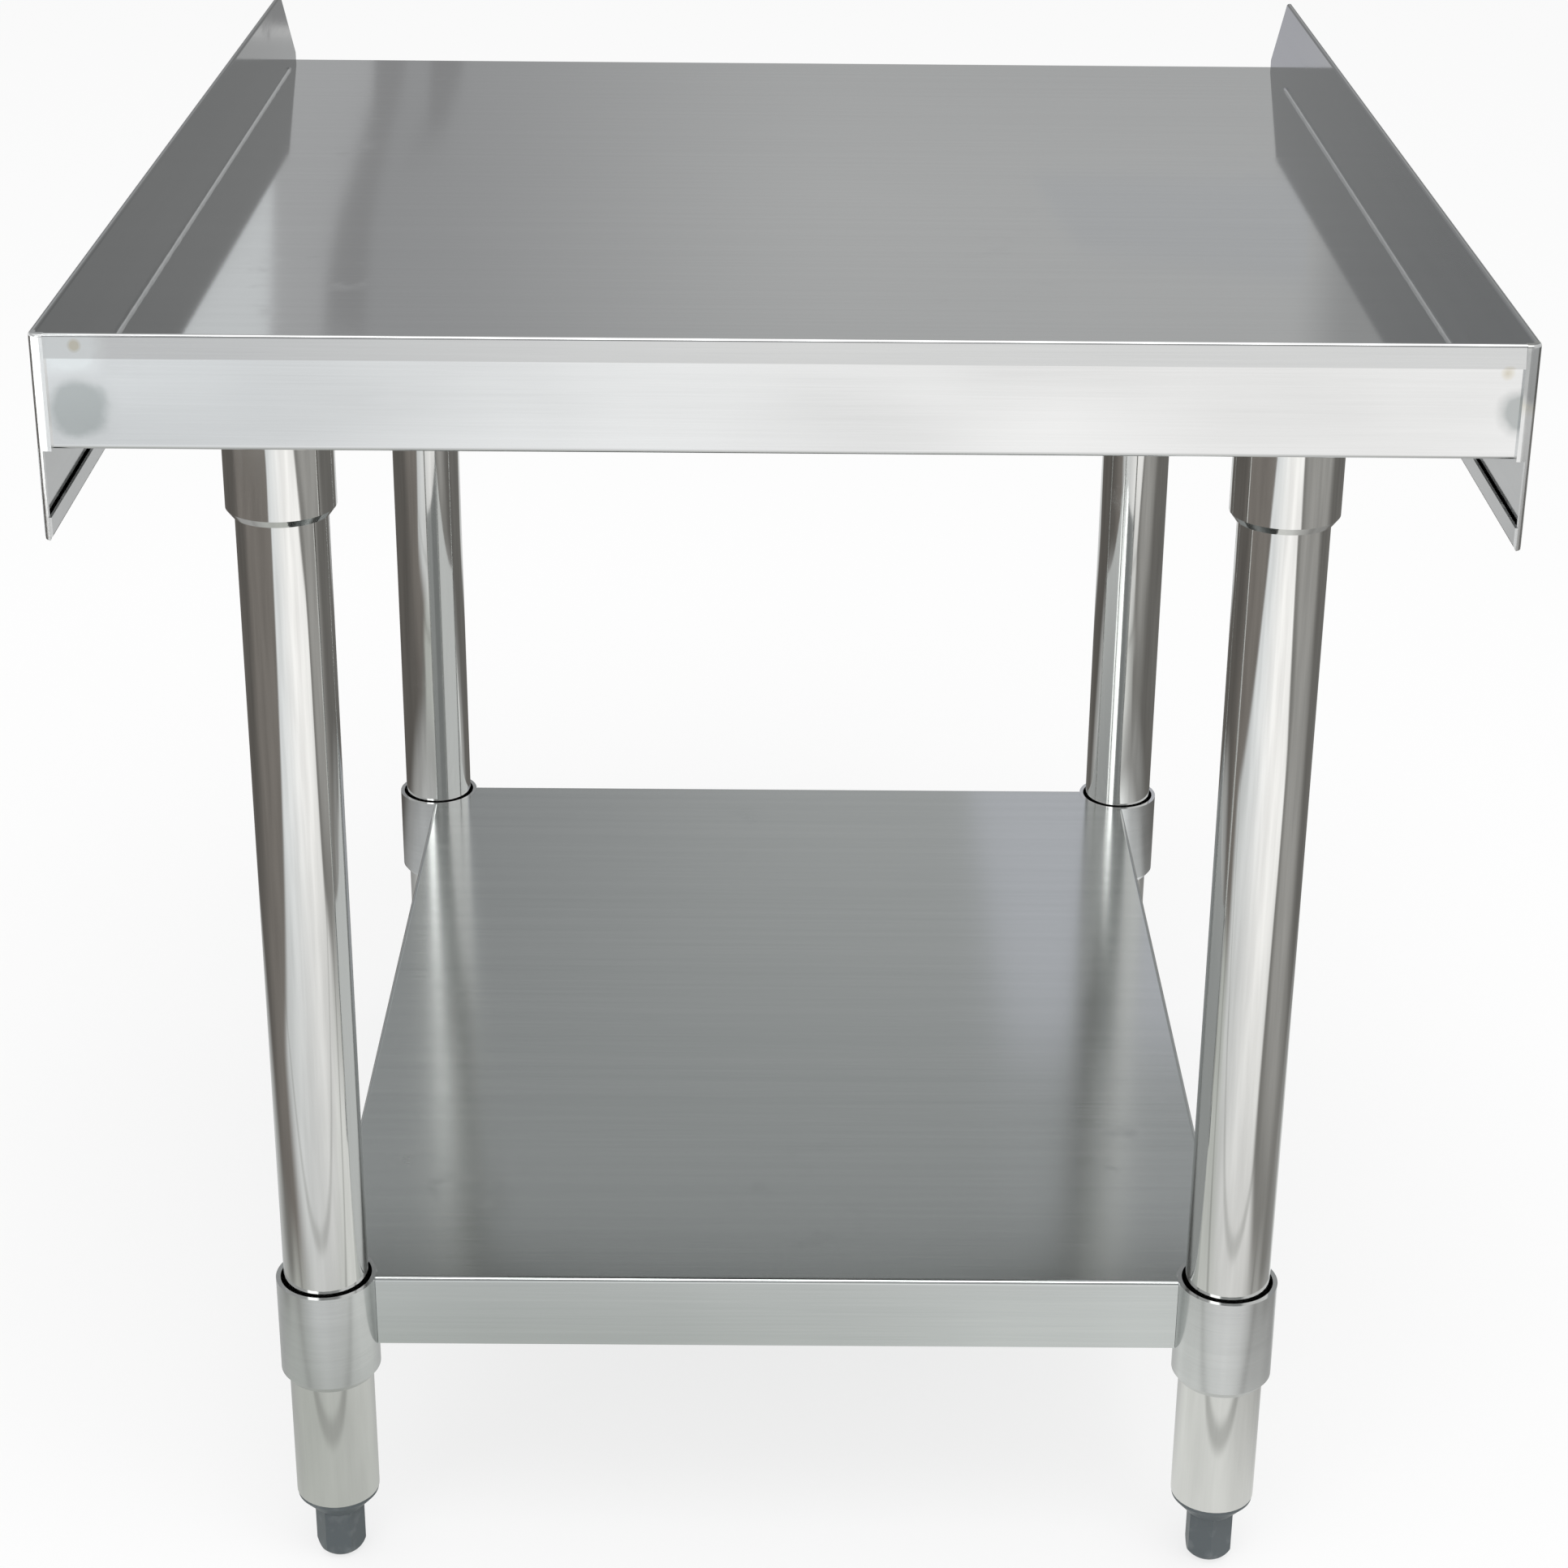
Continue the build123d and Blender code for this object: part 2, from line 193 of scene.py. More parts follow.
def mix_colour(tree, amount, below, above):
    """Colour mix by an amount socket; the colours are sockets or plain values."""
    node = tree.nodes.new("ShaderNodeMix")
    node.data_type = "RGBA"
    if isinstance(amount, (int, float)):
        node.inputs["Factor"].default_value = amount
    else:
        tree.links.new(amount, node.inputs["Factor"])
    for label, value in (("A", below), ("B", above)):
        socket = [s for s in node.inputs if s.name == label and s.type == "RGBA"][0]
        if isinstance(value, tuple):
            socket.default_value = (*value, 1)
        else:
            tree.links.new(value, socket)
    return [s for s in node.outputs if s.type == "RGBA"][0]


def start_material(name):
    """Empty material, its shader and its object coordinates."""
    material = bpy.data.materials.new(name)
    material.use_nodes = True
    tree = material.node_tree
    shader = tree.nodes["Principled BSDF"]
    place = tree.nodes.new("ShaderNodeTexCoord")
    return material, tree, shader, place.outputs["Object"]


def add_bump(tree, shader, height, strength, distance):
    """Bump from a height socket into the shader's normal."""
    bump = tree.nodes.new("ShaderNodeBump")
    bump.inputs["Strength"].default_value = strength
    bump.inputs["Distance"].default_value = distance
    tree.links.new(height, bump.inputs["Height"])
    tree.links.new(bump.outputs["Normal"], shader.inputs["Normal"])


def brushed_steel(name, light, dark, scales, rough, spread, bump):
    """Brushed stainless steel: two tones along the lines, wipe marks and scratches.

    Returns the material, its tree, its shader, its place and its colour socket.
    """
    line_share, streak_share, cloud_share = 0.35, 0.3, 0.35
    smudge_rough, scratch_depth = 0.12, 0.5
    material, tree, shader, place = start_material(name)
    lines = place_group(tree, brushing, place, Scales=scales)
    marks = place_group(tree, handling, place)
    tone = add_math(
        tree,
        "ADD",
        add_math(tree, "MULTIPLY", lines.outputs["Lines"], line_share),
        add_math(tree, "MULTIPLY", lines.outputs["Streaks"], streak_share),
    )
    cloudy = add_math(tree, "MULTIPLY", marks.outputs["Clouds"], cloud_share)
    tone = add_math(tree, "ADD", tone, cloudy)
    colour = mix_colour(tree, tone, dark, light)
    tree.links.new(colour, shader.inputs["Base Color"])
    shader.inputs["Metallic"].default_value = 1.0
    uneven = add_math(tree, "MULTIPLY", lines.outputs["Lines"], spread)
    for label, share in (("Smudges", smudge_rough), ("Clouds", spread)):
        part = add_math(tree, "MULTIPLY", marks.outputs[label], share)
        uneven = add_math(tree, "ADD", uneven, part)
    tree.links.new(add_math(tree, "ADD", uneven, rough), shader.inputs["Roughness"])
    cuts = add_math(tree, "MULTIPLY", marks.outputs["Scratches"], scratch_depth)
    height = add_math(tree, "SUBTRACT", lines.outputs["Lines"], cuts)
    add_bump(tree, shader, height, 1.0, bump)
    return material, tree, shader, place, colour


def add_round_patch(tree, shader, place, colour, centre, radius, patch, rim):
    """Tints a colour with a round patch, for heat tint round a ground weld and for a painted
    highlight, and returns the new colour socket.
    """
    heat = place_group(tree, round_patching, place, Centre=centre, Radius=radius)
    colour = mix_colour(tree, heat.outputs["Rim"], colour, rim)
    colour = mix_colour(tree, heat.outputs["Patch"], colour, patch)
    tree.links.new(colour, shader.inputs["Base Color"])
    return colour


def dress(node_names, material):
    """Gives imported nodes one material."""
    for name in node_names:
        mesh = nodes[name].data
        mesh.materials.clear()
        mesh.materials.append(material)


sheet_light = (0.715, 0.72, 0.72)
sheet_dark = (0.645, 0.65, 0.65)
sheet_steel, tree, shader, place, colour = brushed_steel(
    "satin_sheet", sheet_light, sheet_dark, (14, 1500, 1500), 0.045, 0.025, 0.000001
)
# Ground and heated patches at the two rear corners, the first one ground metal painted lighter as
# a painted highlight: how far across and up the rear face, the radius, the tone of the middle and
# the tone of the rim
left_edge, right_edge, rear_face, top = -0.305, 0.305, -0.381, 0.666
heat_tints_and_painted_highlight = (
    # Painted highlight: this first patch is ground metal, painted lighter still for the light that
    # the ground left end of the rear rim catches
    (left_edge + 0.0165, top - 0.0065, 0.0125, (0.79, 0.81, 0.81), (0.74, 0.75, 0.75)),
    (left_edge + 0.0185, top - 0.0315, 0.0135, (0.46, 0.48, 0.475), (0.66, 0.665, 0.665)),
    (left_edge + 0.019, top - 0.0045, 0.0024, (0.66, 0.63, 0.54), (0.7, 0.69, 0.64)),
    (right_edge - 0.0055, top - 0.029, 0.009, (0.4, 0.42, 0.42), (0.56, 0.57, 0.57)),
    (right_edge - 0.013, top - 0.0125, 0.003, (0.55, 0.52, 0.44), (0.63, 0.61, 0.56)),
)
for across, up, radius, patch, rim_tone in heat_tints_and_painted_highlight:
    centre = (across, rear_face, up)
    colour = add_round_patch(tree, shader, place, colour, centre, radius, patch, rim_tone)
dress(["worktop_sheet"], sheet_steel)


# Side rails: the inner wall, the closed rim and the outer skirt with its open hem.
# They are the same stainless steel as the worktop, brushed along their length.
def split_axes(tree, vector):
    """X, Y and Z sockets of a vector socket."""
    split = tree.nodes.new("ShaderNodeSeparateXYZ")
    tree.links.new(vector, split.inputs[0])
    return split.outputs


rail_steel, tree, shader, place, colour = brushed_steel(
    "satin_rail", sheet_light, sheet_dark, (1500, 14, 1500), 0.06, 0.03, 0.000001
)
# Painted shade: the faces towards the tray, above its floor, are darkened by a multiplied grey,
# the left one more so
inner_face, inside_sheet = 0.3029, 0.3031
below_floor, at_floor = 0.612, 0.6135
side_blend = 0.01
left_painted_shade, right_painted_shade = (0.48, 0.482, 0.483), (0.84, 0.845, 0.85)
axes = split_axes(tree, place)
aside = add_math(tree, "ABSOLUTE", axes["X"])
shaded_inner_wall = add_math(
    tree,
    "MULTIPLY",
    add_span(tree, aside, inner_face, inside_sheet, 1.0, 0.0),
    add_span(tree, axes["Z"], below_floor, at_floor),
)
side = add_span(tree, axes["X"], -side_blend, side_blend)
painted_shade_tone = mix_colour(tree, side, left_painted_shade, right_painted_shade)
painted_shade_colour = mix_colour(tree, 1.0, colour, painted_shade_tone)
painted_shade_colour.node.blend_type = "MULTIPLY"
tree.links.new(mix_colour(tree, shaded_inner_wall, colour, painted_shade_colour), shader.inputs["Base Color"])
# A tint below white keeps the walls from whitening where they are seen at a slant
shader.inputs["Specular Tint"].default_value = (0.75, 0.75, 0.75, 1.0)
dress(["left_side_rail", "right_side_rail"], rail_steel)


# Rear corner welds: weld metal that closes the corners, ground round with a flap disc,
# which leaves short lines, and on the right a dull patch with a straw tint from the heat.
weld_steel, tree, shader, place, colour = brushed_steel(
    "ground_weld", (0.75, 0.755, 0.755), (0.66, 0.67, 0.67), (500, 500, 140), 0.12, 0.08, 0.000003
)
low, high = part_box("rear_corner_welds")
patch_drop, patch_radius = 0.012, 0.014
centre = (high.x, low.y, high.z - patch_drop)
patch, rim_tone = (0.43, 0.44, 0.44), (0.6, 0.59, 0.53)
add_round_patch(tree, shader, place, colour, centre, patch_radius, patch, rim_tone)
dress(["rear_corner_welds"], weld_steel)


# Seam beads: thin weld runs along the foot of each side wall, laid by hand, so their
# width wavers, and stopping short of the open front.
def build_seam(name, side, front_end):
    """Closed bead along the foot of one side wall, from the rear wall to front_end."""
    bead_radius, bead_sink, bead_step = 0.0012, 0.0003, 0.006
    wall_face, floor_level, rear_start = 0.3023, 0.618, -0.3768
    narrowest, widest = 0.88, 1.1
    centre = Vector((side * (wall_face - bead_sink), rear_start, floor_level + bead_sink))
    form = bmesh.new()
    ring = bmesh.ops.create_circle(form, segments=10, radius=bead_radius)["verts"]
    bmesh.ops.rotate(form, verts=ring, matrix=Matrix.Rotation(math.radians(90), 3, "X"))
    bmesh.ops.translate(form, verts=ring, vec=centre)
    waver = random.Random(name)
    edges = form.edges[:]
    width = 1.0
    while centre.y < front_end:
        pulled = bmesh.ops.extrude_edge_only(form, edges=edges)["geom"]
        edges = [e for e in pulled if isinstance(e, bmesh.types.BMEdge)]
        ring = [v for v in pulled if isinstance(v, bmesh.types.BMVert)]
        bmesh.ops.translate(form, verts=ring, vec=(0, bead_step, 0))
        centre.y += bead_step
        next_width = waver.uniform(narrowest, widest)
        bmesh.ops.scale(
            form,
            verts=ring,
            vec=(next_width / width, 1, next_width / width),
            space=Matrix.Translation(-centre),
        )
        width = next_width
    bmesh.ops.holes_fill(form, edges=form.edges[:])
    bmesh.ops.recalc_face_normals(form, faces=form.faces[:])
    mesh = bpy.data.meshes.new(name)
    form.to_mesh(mesh)
    form.free()
    mesh.shade_smooth()
    bead = bpy.data.objects.new(name, mesh)
    scene.collection.objects.link(bead)
    mesh.materials.append(weld_steel)
    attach(bead, "frame")


build_seam("left_seam_bead", -1, 0.345)
build_seam("right_seam_bead", 1, 0.31)


# Cross channels and the shelf's middle channel: folded steel with a dull mill finish,
# tack welded under the sheets where they don't show.
channel_steel = brushed_steel(
    "channel_steel", (0.5, 0.51, 0.51), (0.4, 0.41, 0.41), (25, 600, 600), 0.3, 0.08, 0.000004
)[0]
dress(["rear_cross_channel", "front_cross_channel", "shelf_channel"], channel_steel)


# Undershelf: a folded pan of brushed stainless steel, a little duller and greener than
# the worktop, with its brush lines across the table.
shelf_light, shelf_dark = (0.63, 0.65, 0.645), (0.55, 0.575, 0.57)
shelf_steel = brushed_steel(
    "shelf_steel", shelf_light, shelf_dark, (12, 1100, 1100), 0.115, 0.04, 0.0000015
)[0]
dress(["shelf_sheet"], shelf_steel)


# Legs and upper sockets: welded stainless tube, buffed almost to a mirror, with faint
# drawn lines left along it.
tube_light, tube_dark = (0.74, 0.74, 0.725), (0.69, 0.69, 0.675)
polished_tube = brushed_steel(
    "polished_tube", tube_light, tube_dark, (700, 700, 9), 0.035, 0.02, 0.0000008
)[0]
corners = [f"{end}_{side}" for end in ("rear", "front") for side in ("left", "right")]
dress([f"{c}_leg" for c in corners] + [f"{c}_upper_socket" for c in corners], polished_tube)


# Shelf sockets: stainless tube swaged to a taper and left satin, with turned lines round
# it, and welded to the shelf's corners.
socket_steel = brushed_steel(
    "socket_steel", (0.68, 0.69, 0.69), (0.6, 0.61, 0.61), (40, 40, 1200), 0.14, 0.03, 0.0000008
)[0]
dress([f"{c}_shelf_socket" for c in corners], socket_steel)


# Set screws, nuts and studs: plain turned steel. The screws clamp the legs in their
# sockets, the studs are moulded into the feet and the nuts into the leg inserts.
screw_steel = brushed_steel(
    "screw_steel", (0.5, 0.5, 0.5), (0.38, 0.38, 0.38), (900, 900, 900), 0.28, 0.08, 0.000004
)[0]
dress(
    ["upper_set_screws", "shelf_set_screws", "insert_nuts"] + [f"{c}_foot_stud" for c in corners],
    screw_steel,
)


# Leg inserts and screw feet: moulded slate-grey plastic with a fine spark texture,
# scuffed paler where the feet are dragged.
foot_plastic, tree, shader, place = start_material("foot_plastic")
slate_dark, slate_light = (0.07, 0.085, 0.092), (0.095, 0.112, 0.122)
slate_scuffed = (0.14, 0.155, 0.165)
scuff_strength = 0.6
smooth_level, pore_rough = 0.38, 0.2
pore_bump, pore_depth = 0.5, 0.00004
marks = place_group(tree, handling, place)
pores = add_noise(tree, place, 1800.0, 2.0)
scuffs = add_span(tree, add_noise(tree, place, 130.0, 3.0), 0.5, 0.7)
scuffs = add_math(tree, "MULTIPLY", scuffs, scuff_strength)
colour = mix_colour(tree, marks.outputs["Clouds"], slate_dark, slate_light)
colour = mix_colour(tree, scuffs, colour, slate_scuffed)
tree.links.new(colour, shader.inputs["Base Color"])
rough = add_math(tree, "MULTIPLY", pores, pore_rough)
tree.links.new(add_math(tree, "ADD", rough, smooth_level), shader.inputs["Roughness"])
add_bump(tree, shader, pores, pore_bump, pore_depth)
dress([f"{c}_foot" for c in corners] + [f"{c}_leg_insert" for c in corners], foot_plastic)


# Camera: looks over the rear wall towards the open front, from a little above the table.
camera_place = Vector((-0.0044, -1.6476, 1.0415))
camera_pitch, camera_yaw, camera_roll = 24.264, -0.241, -0.496
lens = bpy.data.cameras.new("camera")
lens.sensor_width = 36.0
lens.lens = 74.88
camera = bpy.data.objects.new("camera", lens)
scene.collection.objects.link(camera)
camera.matrix_world = (
    Matrix.Translation(camera_place)
    @ Matrix.Rotation(math.radians(camera_yaw), 4, "Z")
    @ Matrix.Rotation(math.radians(90 - camera_pitch), 4, "X")
    @ Matrix.Rotation(math.radians(-camera_roll), 4, "Z")
)
scene.camera = camera


# Studio: a white floor that keeps the table's soft shadow, a white world, and a grey
# cloth, light cards and a toned floor card that only the metal sees.
def stage_sheet(name, outline, material):
    """Flat card from its corners, in order."""
    mesh = bpy.data.meshes.new(name)
    form = bmesh.new()
    form.faces.new([form.verts.new(corner) for corner in outline])
    form.to_mesh(mesh)
    form.free()
    card = bpy.data.objects.new(name, mesh)
    scene.collection.objects.link(card)
    mesh.materials.append(material)
    return card


def level_square(half, height):
    """Corners of a level square about the origin."""
    return [(x * half, y * half, height) for x, y in ((-1, -1), (1, -1), (1, 1), (-1, 1))]


def only_in_reflections(card):
    """Hides a card from everything but glossy rays."""
    card.visible_camera = False
    card.visible_diffuse = False
    card.visible_shadow = False
    card.visible_transmission = False
    card.visible_volume_scatter = False


def start_glow(name):
    """Material that only gives off light, with its tree, colour socket and axes."""
    material = bpy.data.materials.new(name)
    material.use_nodes = True
    tree = material.node_tree
    tree.nodes.clear()
    emit = tree.nodes.new("ShaderNodeEmission")
    out = tree.nodes.new("ShaderNodeOutputMaterial")
    tree.links.new(emit.outputs[0], out.inputs["Surface"])
    place = tree.nodes.new("ShaderNodeTexCoord")
    return material, tree, emit.inputs["Color"], split_axes(tree, place.outputs["Object"])


def rays_that_see_white(tree):
    """One for camera, glossy and transmission rays, and nothing for the others."""
    path = tree.nodes.new("ShaderNodeLightPath").outputs
    seen = add_math(tree, "MAXIMUM", path["Is Camera Ray"], path["Is Glossy Ray"])
    return add_math(tree, "MAXIMUM", seen, path["Is Transmission Ray"])


def add_squares(tree, a, b):
    """Sum of the squares of two value sockets."""
    square_a = add_math(tree, "MULTIPLY", a, a)
    return add_math(tree, "ADD", square_a, add_math(tree, "MULTIPLY", b, b))


def add_stripe(tree, value, line):
    """Soft half-strength stripe where a value socket passes a level."""
    apart = add_math(tree, "ABSOLUTE", add_math(tree, "ADD", value, -line))
    return add_span(tree, apart, 0.004, 0.022, 0.5, 0.0)


floor_paint = bpy.data.materials.new("floor_paint")
floor_paint.use_nodes = True
tree = floor_paint.node_tree
tree.nodes.clear()
matt = tree.nodes.new("ShaderNodeBsdfDiffuse")
matt.inputs["Color"].default_value = (0.9, 0.9, 0.9, 1)
bright = tree.nodes.new("ShaderNodeEmission")
blend = tree.nodes.new("ShaderNodeMixShader")
out = tree.nodes.new("ShaderNodeOutputMaterial")
whiteness = 0.75
seen_white = add_math(tree, "MULTIPLY", rays_that_see_white(tree), whiteness)
tree.links.new(seen_white, blend.inputs["Fac"])
tree.links.new(matt.outputs[0], blend.inputs[1])
tree.links.new(bright.outputs[0], blend.inputs[2])
tree.links.new(blend.outputs[0], out.inputs["Surface"])
floor_reach = 12.0
stage_sheet("floor", level_square(floor_reach, 0), floor_paint)

world = bpy.data.worlds.new("studio")
scene.world = world
world.use_nodes = True
tree = world.node_tree
background = tree.nodes["Background"]
background.inputs["Color"].default_value = (1, 1, 1, 1)
fill_strength, extra_when_seen = 0.85, 0.15
strength = add_math(tree, "MULTIPLY", rays_that_see_white(tree), extra_when_seen)
tree.links.new(add_math(tree, "ADD", strength, fill_strength), background.inputs["Strength"])

# The grey cloth hangs all round. It is lighter to the right, darker again at the far
# right, mid grey high up and a little darker low down. Its two sides turn white, the
# left one fading upwards, and it is pale low down behind the camera.
cloth_paint, tree, tone, axes = start_glow("surround_grey")
across = add_span(tree, axes["X"], -0.7, 0.15)
shade = mix_colour(tree, across, (0.345, 0.35, 0.355), (0.5, 0.505, 0.505))
far_right = add_span(tree, axes["X"], 0.83, 0.93)
shade = mix_colour(tree, far_right, shade, (0.34, 0.345, 0.345))
high_up = add_span(tree, axes["Z"], 1.5, 2.6)
shade = mix_colour(tree, high_up, shade, (0.385, 0.395, 0.395))
lower = add_span(tree, axes["Z"], 1.15, 1.6, 0.3, 0.0)
shade = mix_colour(tree, lower, shade, (0.33, 0.335, 0.34))
fading = add_math(
    tree,
    "MAXIMUM",
    add_span(tree, axes["Z"], 1.3, 1.9, 1.0, 0.3),
    add_span(tree, axes["X"], -0.5, 0.5),
)
sideways = add_span(tree, add_math(tree, "ABSOLUTE", axes["X"]), 1.9, 2.5)
beside = add_math(tree, "MULTIPLY", sideways, fading)
shade = mix_colour(tree, beside, shade, (1.0, 1.0, 1.0))
low_down = add_span(tree, axes["Z"], 0.5, 0.75, 1.0, 0.0)
behind_camera = add_span(tree, axes["Y"], -2.0, -1.5, 1.0, 0.0)
low_behind = add_math(tree, "MULTIPLY", low_down, behind_camera)
rightward = add_span(tree, axes["X"], -1.1, 0.1)
facing = mix_colour(tree, rightward, (0.7, 0.71, 0.72), (0.95, 0.95, 0.945))
tree.links.new(mix_colour(tree, low_behind, shade, facing), tone)
cloth_radius, cloth_height = 3.6, 4.0
cloth = bpy.data.meshes.new("surround_cloth")
form = bmesh.new()
bmesh.ops.create_circle(form, segments=96, radius=cloth_radius)
ring = bmesh.ops.extrude_edge_only(form, edges=form.edges[:])
risen = [v for v in ring["geom"] if isinstance(v, bmesh.types.BMVert)]
bmesh.ops.translate(form, verts=risen, vec=(0, 0, cloth_height))
form.to_mesh(cloth)
form.free()
cloth.materials.append(cloth_paint)
surround = bpy.data.objects.new("surround_cloth", cloth)
scene.collection.objects.link(surround)
only_in_reflections(surround)

# The toned card lies on the floor. Each step below lays one tone over the last.
card_paint, tree, tone, axes = start_glow("floor_tones")
nearer = add_math(tree, "MULTIPLY", axes["Y"], -1.0)
leftward = add_math(tree, "MULTIPLY", axes["X"], -1.0)
aside = add_math(tree, "ABSOLUTE", axes["X"])

# Ground: brown-grey to the left, grey to the right, and painted shade under the table's far half
across = add_span(tree, axes["X"], -0.35, 0.35)
ground = mix_colour(tree, across, (0.23, 0.212, 0.196), (0.4, 0.395, 0.38))
far_side = add_span(tree, nearer, -0.15, 0.45, 1.0, 0.0)
far_side = add_math(tree, "MULTIPLY", far_side, 0.75)
ground = mix_colour(tree, far_side, ground, (0.1, 0.095, 0.088))

# Pale ground well past the open front, and a pale patch in the middle before that
beyond_front = add_span(tree, axes["Y"], 1.3, 1.6)
ground = mix_colour(tree, beyond_front, ground, (0.74, 0.74, 0.74))
middle_patch = add_math(
    tree,
    "MULTIPLY",
    add_span(tree, axes["Y"], 0.95, 1.15),
    add_span(tree, aside, 0.28, 0.4, 1.0, 0.0),
)
ground = mix_colour(tree, middle_patch, ground, (0.74, 0.75, 0.75))

# Round the feet: lighter towards the rear wall, with a dark stripe just past it and a
# dark gap at each side
from_centre = add_squares(tree, axes["X"], add_math(tree, "ADD", axes["Y"], 0.1))
ring = add_span(tree, from_centre, 0.26, 0.42, 1.0, 0.0)
ring = add_math(tree, "MULTIPLY", ring, add_span(tree, nearer, -0.15, 0.15, 0.1, 1.0))
near = mix_colour(tree, across, (0.57, 0.59, 0.56), (0.91, 0.92, 0.9))
first_stripe = add_stripe(tree, axes["Y"], -0.425)
near = mix_colour(tree, first_stripe, near, (0.28, 0.285, 0.27))
gap = add_math(
    tree,
    "MULTIPLY",
    add_span(tree, aside, 0.45, 0.52),
    add_span(tree, nearer, 0.05, 0.12),
)
gap = add_math(tree, "MULTIPLY", gap, add_span(tree, nearer, 0.28, 0.38, 0.8, 0.0))
near = mix_colour(tree, gap, near, (0.2, 0.195, 0.185))
ground = mix_colour(tree, ring, ground, near)

# Lit spots at the table's two sides, which the far shelf sockets mirror
spot = add_squares(
    tree,
    add_math(tree, "ADD", aside, -0.3),
    add_math(tree, "ADD", axes["Y"], -0.13),
)
halo = add_span(tree, spot, 0.08, 0.2, 0.8, 0.0)
ground = mix_colour(tree, halo, ground, (0.48, 0.485, 0.48))
lit = mix_colour(tree, across, (0.56, 0.57, 0.57), (1.25, 1.28, 1.28))
ground = mix_colour(tree, add_span(tree, spot, 0.035, 0.085, 1.0, 0.0), ground, lit)

# Between the rear wall and the camera: bright inside two limits that widen towards the
# camera, duller close in, with a second dark stripe, and dark past the right limit
right_limit = add_span(tree, nearer, 0.6, 1.1, 0.47, 0.94)
left_limit = add_span(tree, nearer, 1.95, 2.2, 0.74, 0.92)
beyond = add_math(
    tree,
    "MAXIMUM",
    add_math(tree, "SUBTRACT", axes["X"], right_limit),
    add_math(tree, "SUBTRACT", leftward, left_limit),
)
inside = add_span(tree, beyond, -0.05, 0.05, 1.0, 0.0)
dip = add_math(tree, "MULTIPLY", add_span(tree, beyond, 0.05, 0.3, 1.0, 0.0), 0.6)
dip = add_math(tree, "MULTIPLY", dip, add_span(tree, axes["X"], 0.2, 0.5))
ground = mix_colour(tree, dip, ground, (0.17, 0.165, 0.155))
wide = add_span(tree, axes["X"], -0.9, 0.45)
bright_ground = mix_colour(tree, wide, (0.91, 0.94, 0.96), (1.24, 1.23, 1.22))
closer = add_span(tree, nearer, 0.55, 1.3, 0.45, 0.0)
bright_ground = mix_colour(tree, closer, bright_ground, (0.5, 0.51, 0.5))
second_stripe = add_stripe(tree, axes["Y"], -0.617)
bright_ground = mix_colour(tree, second_stripe, bright_ground, (0.4, 0.405, 0.39))
mask = add_math(tree, "MULTIPLY", inside, add_span(tree, nearer, 0.42, 0.6))
ground = mix_colour(tree, mask, ground, bright_ground)

# Far out to the sides, on the camera's side: very bright on the left, pale on the right
edge_x = add_math(tree, "ADD", aside, -0.3)
edge_y = add_math(tree, "ADD", axes["Y"], 0.38)
outer = add_math(
    tree,
    "MULTIPLY",
    add_span(tree, add_squares(tree, edge_x, edge_y), 3.2, 3.6),
    add_span(tree, edge_x, 0.62, 0.72),
)
outer = add_math(tree, "MULTIPLY", outer, add_span(tree, nearer, 0.0, 0.3))
corner_tone = mix_colour(tree, across, (3.2, 3.22, 3.22), (0.72, 0.72, 0.72))
ground = mix_colour(tree, outer, ground, corner_tone)
tree.links.new(ground, tone)

# Faint clouds over all of it
spread = tree.nodes.new("ShaderNodeTexCoord")
clouds = add_noise(tree, spread.outputs["Object"], 2.6, 4.0, 0.6)
tree.links.new(add_span(tree, clouds, 0.3, 0.7, 0.88, 1.08), tone.node.inputs["Strength"])
card_half, card_level = 3.5, 0.002
floor_card = stage_sheet("floor_card", level_square(card_half, card_level), card_paint)
only_in_reflections(floor_card)

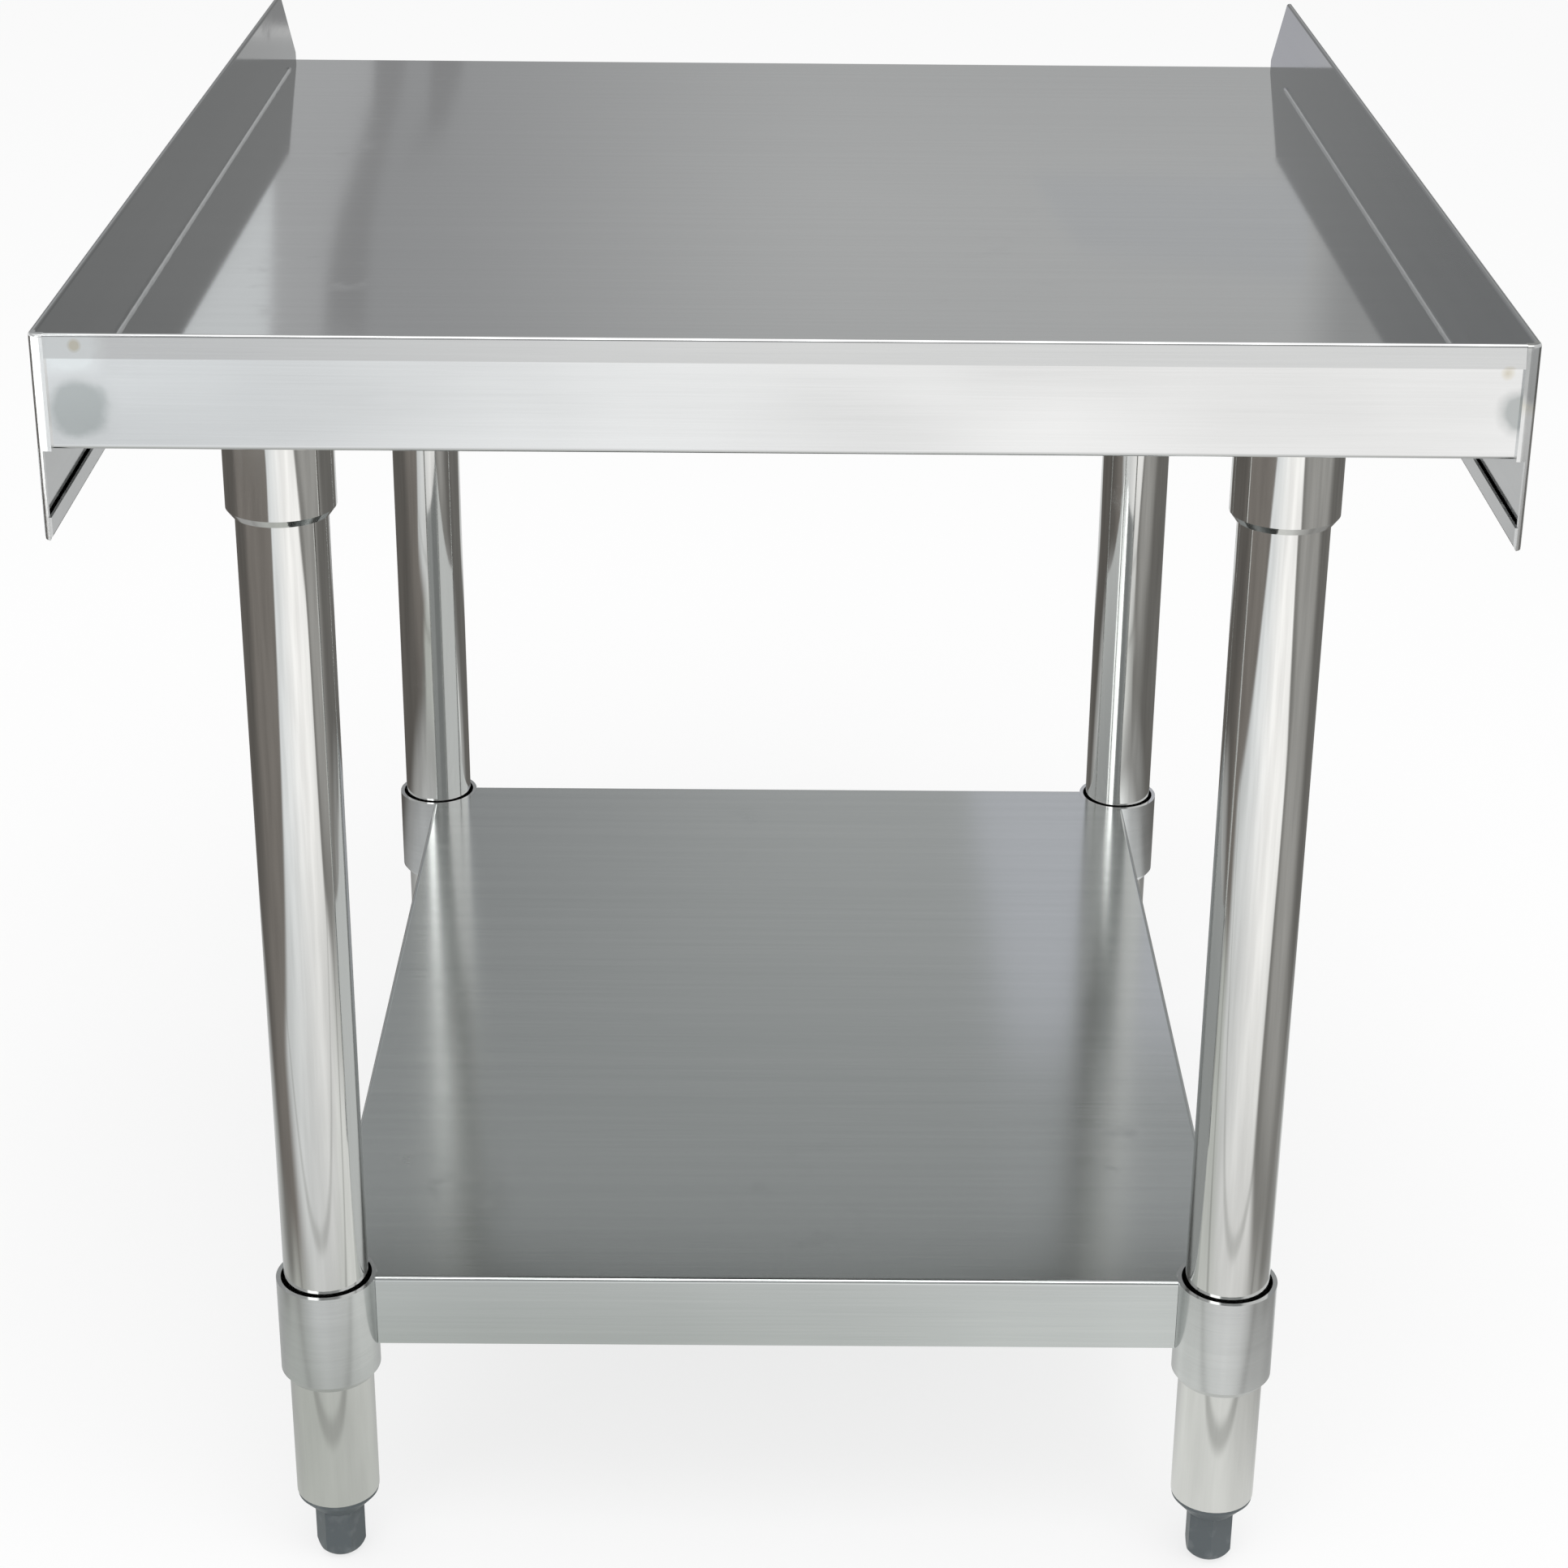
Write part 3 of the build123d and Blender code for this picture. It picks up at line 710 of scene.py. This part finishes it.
# Upright light cards: each has its outline across and up, its place along Y and its tone.
# Six stand past the open front and show as pale or dark bands in the metal. The window,
# to the left behind the camera, shows in the far legs as the shelf mirrors them.
back = 3.4
light_cards = {
    "wide_band": (
        [(-0.94, 1.1), (-0.61, 1.1), (-0.62, 1.255), (-0.628, 1.31), (-0.665, 1.42), (-0.69, 1.49)]
        + [(-0.712, 1.58), (-0.722, 1.67), (-0.8, 2.0), (-1.04, 2.0), (-1.0, 1.73)],
        back,
        (0.44, 0.445, 0.45),
    ),
    "dark_fold": (
        [(-0.62, 1.2), (-0.57, 1.2), (-0.578, 1.27), (-0.615, 1.4), (-0.64, 1.5), (-0.66, 1.69)]
        + [(-0.722, 1.67), (-0.712, 1.58), (-0.69, 1.49), (-0.665, 1.42), (-0.628, 1.31)],
        back - 0.01,
        (0.29, 0.292, 0.295),
    ),
    "small_fold": (
        [(-0.532, 1.2), (-0.48, 1.2), (-0.49, 1.27), (-0.52, 1.35), (-0.6, 1.425), (-0.545, 1.34)],
        back - 0.01,
        (0.28, 0.282, 0.285),
    ),
    "bright_band": (
        [(-0.786, 1.41), (-0.808, 1.692), (-0.83, 2.0), (-1.2, 2.0), (-0.985, 1.7)]
        + [(-0.875, 1.54), (-0.81, 1.45)],
        back - 0.02,
        (0.68, 0.7, 0.71),
    ),
    "shelf_glint": (
        [(0.16, 0.4), (0.42, 0.4), (0.42, 0.7), (0.21, 0.7), (0.2, 0.657)],
        0.9,
        (0.62, 0.625, 0.665),
    ),
    "lower_glint": (
        [(0.196, 0.815), (0.42, 0.815), (0.42, 0.9), (0.24, 0.873)],
        0.9,
        (0.47, 0.48, 0.49),
    ),
    "left_window": (
        [(-2.65, 1.1), (-1.35, 1.1), (-1.35, 1.93), (-2.65, 1.93)],
        -3.2,
        (3.2, 3.25, 3.3),
    ),
}
for name, (outline, along, shade) in light_cards.items():
    paint, _, tone, _ = start_glow(name)
    tone.default_value = (*shade, 1)
    upright = [(x, along, z) for x, z in outline]
    only_in_reflections(stage_sheet(name, upright, paint))

# Two soft lamps aimed at the table: where each is, its width, its depth and its watts
lamp_target = Vector((0, 0, 0.4))
lamps = {
    "overhead": ((0.4, -1.2, 3.2), 2.2, 2.2, 42.0),
    "front_fill": ((-1.6, -2.6, 1.9), 1.4, 1.4, 12.0),
}
for name, (spot, width, depth, watts) in lamps.items():
    light = bpy.data.lights.new(name, "AREA")
    light.shape = "RECTANGLE"
    light.size, light.size_y = width, depth
    light.energy = watts
    lamp = bpy.data.objects.new(name, light)
    scene.collection.objects.link(lamp)
    lamp.location = spot
    lamp.rotation_euler = (Vector(spot) - lamp_target).to_track_quat("Z", "Y").to_euler()
    lamp.visible_camera = False

scene.view_settings.view_transform = "Standard"
